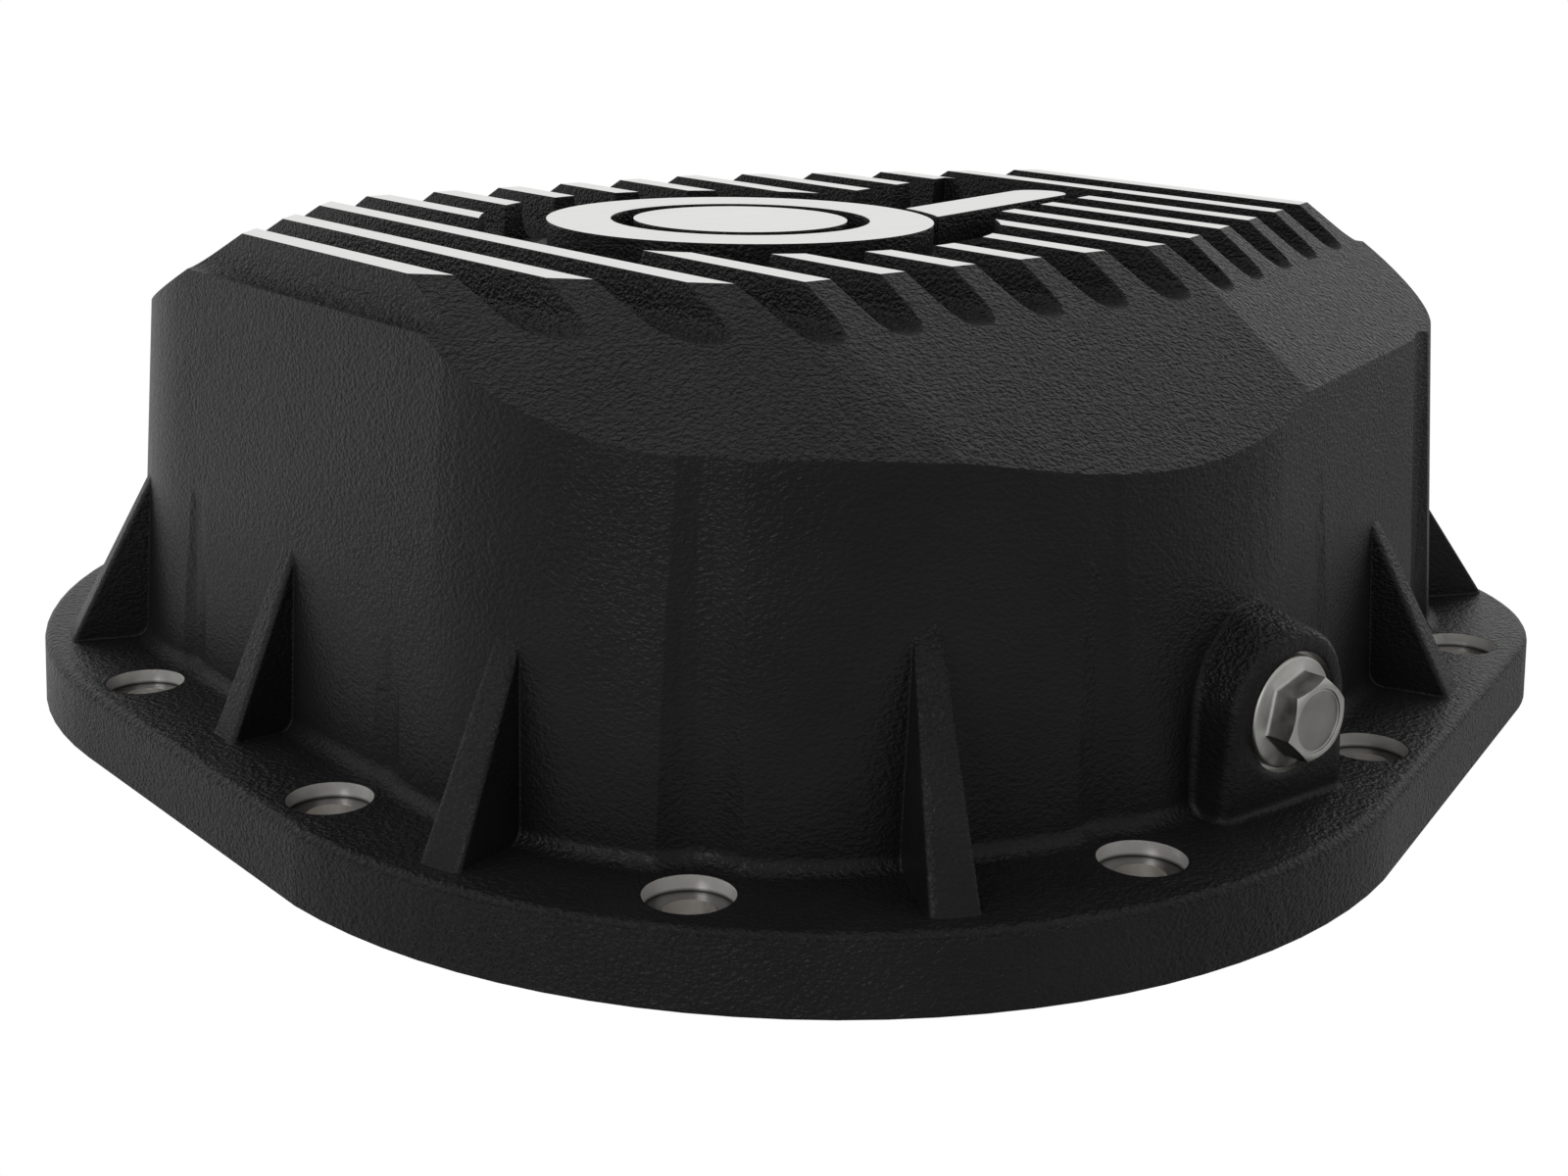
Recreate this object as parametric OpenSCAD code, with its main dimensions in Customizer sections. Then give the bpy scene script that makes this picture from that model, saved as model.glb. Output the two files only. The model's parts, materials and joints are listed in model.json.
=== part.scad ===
// Finned differential cover: a deep cast housing on a bolted flange.
// The mating face lies at z = 0 and the cooling fins run along Y on the roof.

/* [Flange] */
// Length of the flange along Y
cover_length = 336.8; // [325:0.1:350]
// Width of the flange along X
cover_width = 313.6; // [305:0.1:325]
// Thickness of the flange
flange_t = 14.5; // [11:0.1:18]
// Radius of the two large flange corners on the -X side
flange_big_r = 125.9; // [120:0.1:132]
// Radius of the two small flange corners on the +X side
flange_small_r = 66; // [60:0.1:72]
// Half length of the straight flange edge on the +X side
flange_flat_half = 59.6; // [55:0.1:64]
// Draft of the flange's side in degrees
flange_draft = 3; // [0.5:0.1:5]
// Rounding of the flange's upper edge
flange_edge_r = 2; // [1:0.1:3]

/* [Housing] */
// Overall height of the cover, to the fin tops
cover_height = 107.8; // [100:0.1:116]
// Flange land outside the housing on the -X side
land_left = 23.8; // [22:0.1:26]
// Flange land outside the housing on the long sides
land_side = 26.9; // [25:0.1:29]
// Flange land outside the housing on the +X side
land_right = 23; // [21.5:0.1:25]
// Plan radius of the housing's large corners
wall_corner_r = 86; // [82:0.1:91]
// How far the large corner centres lie outside the flange's corner centres
wall_corner_shift = 7; // [4:0.1:9]
// Plan radius of the housing's bulged long sides
wall_side_r = 108; // [103:0.1:112]
// Position of that bulge along X
wall_side_x = -23.5; // [-27:0.1:-19]
// Draft of the housing wall in degrees
wall_draft = 4.95; // [3:0.05:6]
// Fillet between the housing wall and the flange
foot_fillet = 3.3; // [2:0.1:4.5]
// Thickness of the cast wall and roof
wall_t = 7; // [5:0.1:8.5]

/* [Roof facets] */
// Half width of the level roof across Y
roof_half_y = 80.8; // [76:0.1:86]
// Where the level roof starts to narrow towards +X
roof_taper_x = 31.5; // [25:0.1:38]
// Plan angle of that taper in degrees
roof_taper_angle = 21.4; // [18:0.1:25]
// Where the 45 degree corner facet would cross the middle line
roof_corner_x = -153.6; // [-158:0.1:-149]
// Slope of the corner facets in degrees
slope_corner = 30.4; // [27:0.1:34]
// Slope of the long side facets in degrees
slope_side = 28; // [25:0.1:31]
// Slope of the tapering facets in degrees
slope_taper = 31.3; // [28:0.1:34]
// Plan radius that blends the corner facet into the side facet
facet_blend_r = 8; // [4:0.5:20]

/* [Fins] */
// Number of cooling fins
fin_count = 14; // [12:1:14]
// Distance from fin to fin
fin_pitch = 18; // [17:0.1:18.4]
// Width of a fin at its machined top
fin_w = 6; // [4.5:0.1:7.5]
// Depth of the grooves between the fins
fin_depth = 8.5; // [6:0.1:9.5]
// Draft of the fin flanks in degrees
fin_draft = 8; // [3:0.5:12]
// Rounding where a flank meets the groove floor
groove_r = 4; // [2:0.1:4.5]

/* [Medallion] */
// Position of the medallion along X
disc_x = -18; // [-24:0.1:-12]
// Radius of the raised disc
disc_r = 42.5; // [38:0.1:46]
// Radius of the pocket that interrupts the fins round the disc
pocket_r = 57; // [54:0.1:60]
// Height of the low plinth round the disc
plinth_h = 2; // [1:0.1:3]
// Width of the plinth's rim outside the disc
plinth_rim = 4; // [2:0.1:6]
// Outer radius of the ring groove in the disc
ring_groove_r = 28.5; // [25:0.1:33]
// Width of the ring groove
ring_groove_w = 5; // [3:0.1:8]
// Length of the plain bar, measured from the disc's centre
bar_reach = 103; // [90:0.5:106]
// Width of the plain bar
bar_w = 14; // [8:0.1:18]
// Angle of the bar in degrees
bar_angle = 16.4; // [12:0.1:20]
// Sideways offset of the bar from the disc's centre
bar_offset = -24; // [-28:0.1:-20]
// Width of the band cleared for the bar
band_w = 49; // [44:0.1:54]

/* [Bolts] */
// Diameter of the bolt holes
bolt_hole_d = 9; // [8:0.1:10]
// Diameter of the machined seats
bolt_seat_d = 16; // [14:0.1:18]
// Depth of the machined seats
bolt_seat_depth = 3; // [1.5:0.1:5]
// Distance of the end bolts from the flange edge
bolt_inset = 12.9; // [12:0.1:14]
// Distance of the end bolts from the middle line
bolt_end_y = 41.1; // [38:0.1:44]
// Directions of the bolts on the large corners, in degrees
bolt_big_angles = [40.1, 82.6];
// Distances of those bolts from the flange edge
bolt_big_insets = [13.9, 17.7];
// Position along X of the bolt on the straight side
bolt_side_x = 33; // [28:0.1:38]
// Direction of the bolt on the small corner, in degrees
bolt_small_angle = 72.6; // [68:0.1:76]
// Radius of the tool relief round each bolt, at the flange
relief_r = 12.5; // [11.5:0.1:14]
// Sideways shift of the relief on the narrowing sides
relief_shift = 3; // [0:0.1:4]
// Draft of that relief in degrees
relief_draft = 3.3; // [1:0.1:4]

/* [Gussets] */
// Thickness of a gusset at the flange
gusset_t = 9; // [7:0.1:11]
// Draft of a gusset's sides in degrees
gusset_draft = 2.6; // [1:0.1:4]
// Height of the gusset tops above the mating face
gusset_top = 50.3; // [42:0.1:58]
// Height of the gussets beside the bulged long sides
gusset_side_top = 56.5; // [50:0.1:62]
// Rounding along a gusset's crest
gusset_crest_r = 1.6; // [0.8:0.1:2]
// Height of the lower gussets on the +X side
gusset_low_top = 45; // [40:0.1:50]
// Distance from a gusset's toe to the flange edge
gusset_toe = 6; // [4:0.1:8]
// Distance from the wide end's middle gusset to the flange edge
gusset_end_toe = 11; // [9:0.1:13]
// Distance from the lower gussets' toes to the flange edge
gusset_low_toe = 3; // [2:0.1:5]
// Distance of the gussets on the narrowing sides from the small corners
gusset_narrow_shift = 39.6; // [36:0.1:43]

/* [Drain boss] */
// Position of the drain plug along X
drain_x = -5.1; // [-9:0.1:-1]
// Height of the drain plug above the mating face
drain_z = 32.7; // [31:0.1:35]
// Distance from the boss face to the flange's long edge
boss_inset = 19.5; // [17.5:0.1:21]
// Radius of the boss's arched top
boss_r = 15.6; // [14:0.1:17]
// Draft of the boss's sides in degrees
boss_draft = 5; // [1:0.1:8]
// Height of the ridge that runs up from the boss
boss_ridge_top = 50.5; // [50:0.1:56]
// Diameter of the machined plug seat
seat_d = 23; // [22.2:0.1:25]
// Depth of the machined plug seat
seat_depth = 2; // [1.2:0.1:3]

/* [Drain plug] */
// Diameter of the plug's shank
plug_d = 14; // [12:0.1:16]
// Length of the shank under the plug's flange
plug_len = 19; // [16:0.1:24]
// Diameter of the plug's flange
plug_flange_d = 21.4; // [19:0.1:21.6]
// Thickness of the plug's flange
plug_flange_t = 1.6; // [1.2:0.1:3.5]
// Width across the flats of the plug's head
plug_af = 14; // [12:0.1:16]
// Length of the plug's head beyond its flange
plug_head_len = 5.7; // [4:0.1:8]
// Thickness of the seal under the plug's flange
seal_t = 0.8; // [0.6:0.1:2]
// Diameter of that seal
seal_d = 19.4; // [17.5:0.1:20.5]
// Diameter of the magnet in the plug's end
magnet_d = 8; // [6:0.1:9]
// Length of the magnet
magnet_len = 6; // [4:0.1:8]

/* [Hidden] */
$fn = 64;
ring_n = 96;
big_c = [-cover_width / 2 + flange_big_r, cover_length / 2 - flange_big_r];
small_c = [cover_width / 2 - flange_small_r, flange_flat_half];
flange_cs = [
    [big_c.x, big_c.y, flange_big_r], [big_c.x, -big_c.y, flange_big_r],
    [small_c.x, small_c.y, flange_small_r], [small_c.x, -small_c.y, flange_small_r]
];
corner_x = -cover_width / 2 + land_left + wall_corner_r;
side_y = cover_length / 2 - land_side - wall_side_r;
wall_corner_y = big_c.y + wall_corner_shift;
wall_cs = [
    [corner_x, wall_corner_y, wall_corner_r], [corner_x, -wall_corner_y, wall_corner_r],
    [wall_side_x, side_y, wall_side_r], [wall_side_x, -side_y, wall_side_r],
    [small_c.x, small_c.y, flange_small_r - land_right], [small_c.x, -small_c.y, flange_small_r - land_right]
];
rise = cover_height - flange_t;
groove_z = cover_height - fin_depth;
pocket_z = groove_z - 0.3;
roof_inside_z = pocket_z - wall_t;

// Outline of a convex set of circles [x, y, r], moved outward by grow, at height z
function best(cs, v, m, i = 0) = v[i] == m ? i : best(cs, v, m, i + 1);
function outline(cs, grow, z) = [
    for (k = [0 : ring_n - 1])
        let (a = k * 360 / ring_n, c = cos(a), s = sin(a))
        let (v = [for (q = cs) q[0] * c + q[1] * s + q[2]])
        let (q = cs[best(cs, v, max(v))])
        [q[0] + (q[2] + grow) * c, q[1] + (q[2] + grow) * s, z]
];

// Closed solid through a stack of rings with n points each, lowest ring first
module loft(rings, n) {
    m = len(rings);
    points = [for (r = rings) each r];
    sides = [
        for (j = [0 : m - 2], k = [0 : n - 1])
            let (a = j * n + k, b = j * n + (k + 1) % n, c = a + n, d = b + n)
            each [[a, c, b], [b, c, d]]
    ];
    polyhedron(points, concat([[for (k = [0 : n - 1]) k]], sides, [[for (k = [n - 1 : -1 : 0]) (m - 1) * n + k]]));
}

module flange() {
    side_z = flange_t - flange_edge_r;
    lean = tan(flange_draft);
    arc = [for (a = [0 : 22.5 : 90]) [
        side_z * lean + flange_edge_r * (1 - cos(a)),
        side_z + flange_edge_r * sin(a)
    ]];
    loft(concat([outline(flange_cs, 0, 0)], [for (p = arc) outline(flange_cs, -p[0], p[1])]), ring_n);
}

// Drafted wall with its foot fillet, standing in the flange
module wall_block() {
    centre = foot_fillet * (1 - sin(wall_draft)) / cos(wall_draft);
    fillet = [for (a = [270 : -(85 - 0) / 4 : 184.9]) [
        centre + foot_fillet * cos(max(a, 180 + wall_draft)),
        flange_t + foot_fillet * (1 + sin(max(a, 180 + wall_draft)))
    ]];
    loft(concat(
        [outline(wall_cs, centre, flange_t / 2)],
        [for (p = fillet) outline(wall_cs, p[0], p[1])],
        [outline(wall_cs, -rise * tan(wall_draft), cover_height)]
    ), ring_n);
}

// Half planes of the roof: [direction, distance at the fin tops, slope], for the -Y half first
corner_n = [-cos(45), -sin(45)];
corner_d = -roof_corner_x * cos(45);
taper_dir = -90 + roof_taper_angle;
taper_d = roof_taper_x * cos(taper_dir) - roof_half_y * sin(taper_dir);
blend_y = -(roof_half_y - facet_blend_r);
blend_x = (corner_d - facet_blend_r + blend_y * cos(45)) / -cos(45);
half_planes = concat(
    [for (k = [0 : 4]) let (a = -135 + k * 11.25)
        [a, blend_x * cos(a) + blend_y * sin(a) + facet_blend_r, slope_corner + (slope_side - slope_corner) * k / 4]],
    [[taper_dir, taper_d, slope_taper]]
);
all_planes = concat(half_planes, [for (k = [len(half_planes) - 1 : -1 : 0])
    [-half_planes[k][0], half_planes[k][1], half_planes[k][2]]]);
function cross_at(p, q, dp, dq) =
    let (s = sin(q[0] - p[0]))
    [(dp * sin(q[0]) - dq * sin(p[0])) / s, (dq * cos(p[0]) - dp * cos(q[0])) / s];
function facet_ring(z, inset) = [
    for (k = [0 : len(all_planes) - 1])
        let (p = all_planes[k], q = all_planes[(k + 1) % len(all_planes)])
        let (dp = p[1] + (cover_height - z) / tan(p[2]) - inset / sin(p[2]))
        let (dq = q[1] + (cover_height - z) / tan(q[2]) - inset / sin(q[2]))
        concat(cross_at(p, q, dp, dq), z)
];

// Pyramid under the roof facets, moved inward by inset
module facet_block(top, inset) {
    loft([facet_ring(-20, inset), facet_ring(top, inset)], len(all_planes));
}

// One groove between two fins, cut along Y with rounded bottom corners
module groove() {
    top_w = (fin_pitch - fin_w) / 2;
    lean = tan(fin_draft);
    r = min(groove_r, (top_w - fin_depth * lean) * 0.98);
    cx = top_w - (fin_depth - r) * lean - r / cos(fin_draft);
    side = [for (a = [-fin_draft : -(90 - fin_draft) / 5 : -90.1]) [cx + r * cos(a), groove_z + r + r * sin(a)]];
    right = concat([[top_w + 2 * lean, cover_height + 2]], side);
    left = [for (k = [len(right) - 1 : -1 : 0]) [-right[k][0], right[k][1]]];
    rotate([90, 0, 0])
        linear_extrude(cover_length, center = true)
            polygon(concat(right, left));
}

// The band that the bar lies in, as a level strip from the disc outward
module strip(w, reach, z, h, round_end) {
    translate([disc_x, 0, z])
        rotate([0, 0, bar_angle])
            translate([0, bar_offset, 0]) {
                translate([0, -w / 2, 0]) cube([reach - (round_end ? w / 2 : 0), w, h]);
                if (round_end) translate([reach - w / 2, 0, 0]) cylinder(d = w, h = h);
            }
}

module pocket() {
    translate([disc_x, 0, pocket_z]) cylinder(r = pocket_r, h = fin_depth + 5, $fn = 96);
    translate([disc_x, 0, pocket_z])
        rotate([0, 0, bar_angle])
            translate([0, bar_offset - band_w / 2 + 12, 0]) cube([band_reach, band_w, fin_depth + 5]);
}
band_reach = bar_reach + 6;

module medallion() {
    over = 0.6;
    floor_z = pocket_z - over;
    difference() {
        union() {
            translate([disc_x, 0, floor_z]) cylinder(r = disc_r + plinth_rim, h = plinth_h + over, $fn = 96);
            translate([disc_x, 0, floor_z]) cylinder(r = disc_r, h = cover_height - floor_z, $fn = 96);
            strip(bar_w + 2 * plinth_rim, bar_reach, floor_z, plinth_h + over, true);
            difference() {
                strip(bar_w, bar_reach - plinth_rim, floor_z, cover_height - floor_z, true);
                translate([disc_x, 0, pocket_z + plinth_h]) cylinder(r = disc_r + 2.5, h = fin_depth + 5, $fn = 96);
            }
        }
        translate([disc_x, 0, pocket_z + plinth_h])
            difference() {
                cylinder(r = ring_groove_r, h = fin_depth + 5, $fn = 96);
                translate([0, 0, -1]) cylinder(r = ring_groove_r - ring_groove_w, h = fin_depth + 7, $fn = 96);
            }
    }
}

// Bolt centres of the -Y half
edge_len = norm([small_c.x - big_c.x, small_c.y - big_c.y]);
edge_dir = -90 + atan2(big_c.y - small_c.y, small_c.x - big_c.x) + asin((flange_big_r - flange_small_r) / edge_len);
edge_n = [cos(edge_dir), sin(edge_dir)];
edge_d = edge_n * [big_c.x, -big_c.y] + flange_big_r;
function polar(c, r, a) = [c[0] + r * cos(a), c[1] + r * sin(a)];
bolts_half = concat(
    [[-cover_width / 2 + bolt_inset, -bolt_end_y]],
    [for (k = [0 : len(bolt_big_angles) - 1])
        polar([big_c.x, -big_c.y], flange_big_r - bolt_big_insets[k], 180 + bolt_big_angles[k])],
    [[bolt_side_x, (edge_d - bolt_inset - edge_n.x * bolt_side_x) / edge_n.y]],
    [polar([small_c.x, -small_c.y], flange_small_r - bolt_inset - 0.6, -bolt_small_angle)],
    [[cover_width / 2 - bolt_inset, -bolt_end_y]]
);
bolts = concat(bolts_half, [for (p = bolts_half) [p.x, -p.y]]);
reliefs_half = [for (k = [0 : len(bolts_half) - 1])
    bolts_half[k] + (k == len(bolt_big_angles) + 1 ? relief_shift : 0) * [-edge_n.y, edge_n.x]];
relief_centres = concat(reliefs_half, [for (p = reliefs_half) [p.x, -p.y]]);

module bolt_cut() {
    translate([0, 0, -1]) cylinder(d = bolt_hole_d, h = flange_t + 2, $fn = 32);
    translate([0, 0, flange_t - bolt_seat_depth]) cylinder(d = bolt_seat_d, h = bolt_seat_depth + 1, $fn = 48);
}

// Drafted tool relief with a filleted foot, cut into the wall beside a bolt
module relief() {
    f = foot_fillet;
    arc = [for (a = [-90 : 30 : 0]) [relief_r - f + f * cos(a), flange_t + f + f * sin(a)]];
    rotate_extrude($fn = 64)
        polygon(concat([[0, flange_t]], arc, [
            [relief_r + rise * tan(relief_draft), cover_height + 1],
            [0, cover_height + 1]
        ]));
}

// Gussets of the -Y half: [toe centre point, outward direction, run from toe to wall, top height]
function gusset_run(land, toe, top) = land - toe + (top - flange_t) * tan(wall_draft);
gussets_half = [
    [polar([big_c.x, -big_c.y], flange_big_r - gusset_toe, 198.6), 198.6,
        gusset_run(land_left - 1.4, gusset_toe, gusset_top), gusset_top],
    [polar([big_c.x, -big_c.y], flange_big_r - gusset_toe, 241.9), 241.9,
        gusset_run(land_side, gusset_toe, gusset_side_top), gusset_side_top],
    [polar([small_c.x, -small_c.y] + gusset_narrow_shift * [edge_n.y, -edge_n.x],
        flange_small_r - gusset_toe, edge_dir), edge_dir, gusset_run(land_right + 0.5, gusset_toe, gusset_top), gusset_top],
    [polar([small_c.x, -small_c.y], flange_small_r - gusset_low_toe, -23.3), -23.3,
        gusset_run(land_right, gusset_low_toe, gusset_low_top), gusset_low_top]
];
gussets_mid = [
    [[-cover_width / 2 + gusset_end_toe, 0], 180, gusset_run(land_left, gusset_end_toe, gusset_top), gusset_top],
    [[cover_width / 2 - gusset_low_toe, 0], 0, gusset_run(land_right, gusset_low_toe, gusset_low_top), gusset_low_top]
];
gussets = concat(
    gussets_half,
    [for (g = gussets_half) [[g[0].x, -g[0].y], -g[1], g[2], g[3]]],
    gussets_mid,
    [[[drain_x, cover_length / 2 - gusset_toe - 1.5], 90, gusset_run(land_side, gusset_toe + 1, gusset_top), gusset_top]]
);

// Section of a gusset whose crest is at height z, with a rounded crest
function gusset_half_w(z) = max(gusset_crest_r + 0.2, gusset_t / 2 - (z - flange_t) * tan(gusset_draft));
function gusset_ring(s, z) =
    let (base = flange_t / 2, w = gusset_half_w(z), r = gusset_crest_r)
    let (half = concat([[gusset_half_w(base), base]],
        [for (a = [0 : 22.5 : 90]) [w - r + r * cos(a), z - r + r * sin(a)]]))
    concat([for (p = half) [s, p[0], p[1]]], [for (k = [len(half) - 1 : -1 : 0]) [s, -half[k][0], half[k][1]]]);

module gusset(run, top) {
    slope = (top - flange_t) / run;
    far = run + 1.6;
    loft([gusset_ring(-0.01, flange_t - 0.4), gusset_ring(far, flange_t + slope * far)], 12);
}

// Arched boss for the drain plug, drafted towards its face, with a ridge up the wall
module boss_outline(grow) {
    hull() {
        translate([0, drain_z]) circle(r = boss_r + grow, $fn = 48);
        translate([-boss_r - grow - 1.6, flange_t - 3]) square([2 * (boss_r + grow + 1.6), 1]);
    }
}

module boss() {
    back_y = cover_length / 2 - land_side - 6;
    deep = boss_y - back_y;
    hull() {
        translate([drain_x, -boss_y, 0]) rotate([90, 0, 0]) linear_extrude(0.01) boss_outline(-1.2);
        translate([drain_x, -boss_y + 1.2, 0]) rotate([90, 0, 0]) linear_extrude(0.01) boss_outline(0);
        translate([drain_x, -back_y, 0]) rotate([90, 0, 0]) linear_extrude(0.01) boss_outline(deep * tan(boss_draft));
        translate([drain_x - 4, -back_y, boss_ridge_top - 2]) cube([8, 1, 2]);
    }
}

plug_bore_d = plug_d + 0.1;
boss_y = cover_length / 2 - boss_inset;
module drain_cut() {
    translate([drain_x, -boss_y - 1, drain_z]) rotate([-90, 0, 0]) cylinder(d = seat_d, h = seat_depth + 1, $fn = 64);
    translate([drain_x, -boss_y, drain_z]) rotate([-90, 0, 0]) cylinder(d = plug_bore_d, h = 40, $fn = 48);
}

// Hollow side of the casting
module cavity() {
    intersection() {
        loft([
            outline(wall_cs, -wall_t + (flange_t + 10) * tan(wall_draft), -10),
            outline(wall_cs, -wall_t - (roof_inside_z - flange_t) * tan(wall_draft), roof_inside_z)
        ], ring_n);
        facet_block(roof_inside_z, wall_t);
    }
}

// Thickened pad inside the wall that the plug's thread runs through
module plug_pad() {
    translate([drain_x, -boss_y + 6, drain_z])
        rotate([-90, 0, 0])
            cylinder(d = plug_d + 14, h = plug_pad_y, $fn = 48);
}
plug_pad_y = 15;

// Housing block with its roof facets, fins and medallion pocket
module ribbed_block() {
    difference() {
        intersection() {
            wall_block();
            facet_block(cover_height + 1, 0);
        }
        for (k = [0 : fin_count])
            translate([(k - fin_count / 2) * fin_pitch, 0, 0]) groove();
        pocket();
    }
}

module cover_casting() {
    color([0.09, 0.09, 0.095])
        difference() {
            union() {
                difference() {
                    union() {
                        difference() {
                            union() {
                                flange();
                                ribbed_block();
                            }
                            for (p = relief_centres) translate([p.x, p.y, 0]) relief();
                        }
                        medallion();
                        for (g = gussets)
                            translate([g[0].x, g[0].y, 0]) rotate([0, 0, g[1] + 180]) gusset(g[2], g[3]);
                        boss();
                    }
                    cavity();
                }
                plug_pad();
            }
            for (p = bolts) translate([p.x, p.y, 0]) bolt_cut();
            drain_cut();
        }
}

// Plug parts are drawn along +Z from the seal face outward, then laid along -Y
seat_face_y = boss_y - seat_depth;
module at_drain() {
    translate([drain_x, -seat_face_y, drain_z]) rotate([90, 0, 0]) children();
}

module drain_plug() {
    head_z = seal_t + plug_flange_t;
    r = plug_af / cos(30) / 2;
    color([0.62, 0.62, 0.63])
        at_drain()
            difference() {
                union() {
                    translate([0, 0, seal_t]) cylinder(d1 = plug_flange_d, d2 = plug_flange_d - 0.8, h = plug_flange_t, $fn = 64);
                    translate([0, 0, seal_t - plug_len]) cylinder(d = plug_d, h = plug_len + 1, $fn = 48);
                    intersection() {
                        translate([0, 0, head_z - 0.5]) rotate([0, 0, 19]) cylinder(r = r, h = plug_head_len + 0.5, $fn = 6);
                        rotate_extrude($fn = 64)
                            polygon([[0, head_z - 1], [r + 1, head_z - 1], [r + 1, head_z + plug_head_len - 1.2],
                                [r - 1.1, head_z + plug_head_len], [0, head_z + plug_head_len]]);
                    }
                }
                translate([0, 0, head_z + plug_head_len - 0.4]) cylinder(d = plug_af - 2, h = 2, $fn = 48);
                translate([0, 0, seal_t - plug_len - 1]) cylinder(d = magnet_d, h = magnet_len + 1, $fn = 32);
            }
}

module drain_plug_seal() {
    color([0.75, 0.75, 0.76])
        at_drain()
            difference() {
                cylinder(d = seal_d, h = seal_t, $fn = 64);
                translate([0, 0, -1]) cylinder(d = plug_d, h = seal_t + 2, $fn = 48);
            }
}

module drain_plug_magnet() {
    color([0.3, 0.3, 0.32])
        at_drain()
            translate([0, 0, seal_t - plug_len]) cylinder(d = magnet_d, h = magnet_len, $fn = 32);
}

cover_casting();
drain_plug();
drain_plug_seal();
drain_plug_magnet();
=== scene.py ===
"""Finned differential cover: black powder-coated casting with machined fin tops."""
import json
from math import atan2, cos, pi, radians, sin, tan

import bmesh
import bpy
from bpy.props import FloatProperty, FloatVectorProperty, PointerProperty
from mathutils import Matrix, Vector


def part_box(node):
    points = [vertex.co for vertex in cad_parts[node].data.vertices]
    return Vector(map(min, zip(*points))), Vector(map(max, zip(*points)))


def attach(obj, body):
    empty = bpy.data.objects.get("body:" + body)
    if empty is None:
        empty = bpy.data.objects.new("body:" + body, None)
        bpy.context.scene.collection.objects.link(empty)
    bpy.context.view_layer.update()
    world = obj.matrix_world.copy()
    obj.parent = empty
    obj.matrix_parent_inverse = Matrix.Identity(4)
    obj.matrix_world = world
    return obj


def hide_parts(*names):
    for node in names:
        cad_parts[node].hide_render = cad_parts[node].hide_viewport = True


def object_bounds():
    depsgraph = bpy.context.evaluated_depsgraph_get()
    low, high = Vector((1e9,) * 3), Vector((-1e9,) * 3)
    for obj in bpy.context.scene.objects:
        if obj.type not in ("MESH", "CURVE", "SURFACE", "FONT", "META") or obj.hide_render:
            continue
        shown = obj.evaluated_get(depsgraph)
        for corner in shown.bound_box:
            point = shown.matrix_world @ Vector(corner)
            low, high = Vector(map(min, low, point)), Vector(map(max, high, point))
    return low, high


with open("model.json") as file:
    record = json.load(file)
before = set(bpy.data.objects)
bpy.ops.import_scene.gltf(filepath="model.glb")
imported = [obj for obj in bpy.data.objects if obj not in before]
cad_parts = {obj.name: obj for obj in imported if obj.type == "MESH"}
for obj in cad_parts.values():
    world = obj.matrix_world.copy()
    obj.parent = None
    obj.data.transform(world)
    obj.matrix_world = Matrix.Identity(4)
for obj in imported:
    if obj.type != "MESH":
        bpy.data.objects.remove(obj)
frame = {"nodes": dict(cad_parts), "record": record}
CAD_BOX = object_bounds()

bl_info = {
    "name": "Finned Differential Cover",
    "version": (1, 0, 0),
    "blender": (4, 5, 0),
    "location": "3D View > Sidebar > Cover",
    "description": "Dresses a finned cast cover and sets up its studio",
    "category": "Object",
}

MM = 0.001
TOUCH = 0.02 * MM
# Levels above the mating face: the floors of the bolt seats, just over the flange, just over the fillet at
# the walls' foot, and just under the floors of the grooves.
SEAT_FLOOR = 11.5 * MM
FLANGE_TOP = 14.6 * MM
WALL_FOOT = 18.5 * MM
FIN_START = 98 * MM


# colours and nodes

def linear(hex_colour):
    """sRGB hex such as #1A1A1C to linear RGBA."""
    digits = hex_colour.lstrip("#")
    out = []
    for k in (0, 2, 4):
        v = int(digits[k:k + 2], 16) / 255
        out.append(v / 12.92 if v <= 0.04045 else ((v + 0.055) / 1.055) ** 2.4)
    return (*out, 1.0)


def grain_scale(size_mm):
    """The noise scale whose grains are about this many millimetres across."""
    return 1 / (size_mm * MM)


def node(tree, kind, links=None, **settings):
    """Add one node, set its values, inputs and colour stops by name, and link its inputs."""
    made = tree.nodes.new(kind)
    inputs = settings.pop("inputs", {})
    stops = settings.pop("stops", ())
    for key, value in settings.items():
        setattr(made, key, value)
    for key, value in inputs.items():
        made.inputs[key].default_value = value
    for k, (position, colour) in enumerate(stops):
        made.color_ramp.elements[k].position = position
        made.color_ramp.elements[k].color = colour
    for key, source in (links or {}).items():
        tree.links.new(source, made.inputs[key])
    return made


def new_material(name):
    """An empty node material with one Principled shader."""
    material = bpy.data.materials.new(name)
    material.use_nodes = True
    tree = material.node_tree
    tree.nodes.clear()
    output = tree.nodes.new("ShaderNodeOutputMaterial")
    shader = tree.nodes.new("ShaderNodeBsdfPrincipled")
    tree.links.new(shader.outputs["BSDF"], output.inputs["Surface"])
    return material, tree, shader


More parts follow.
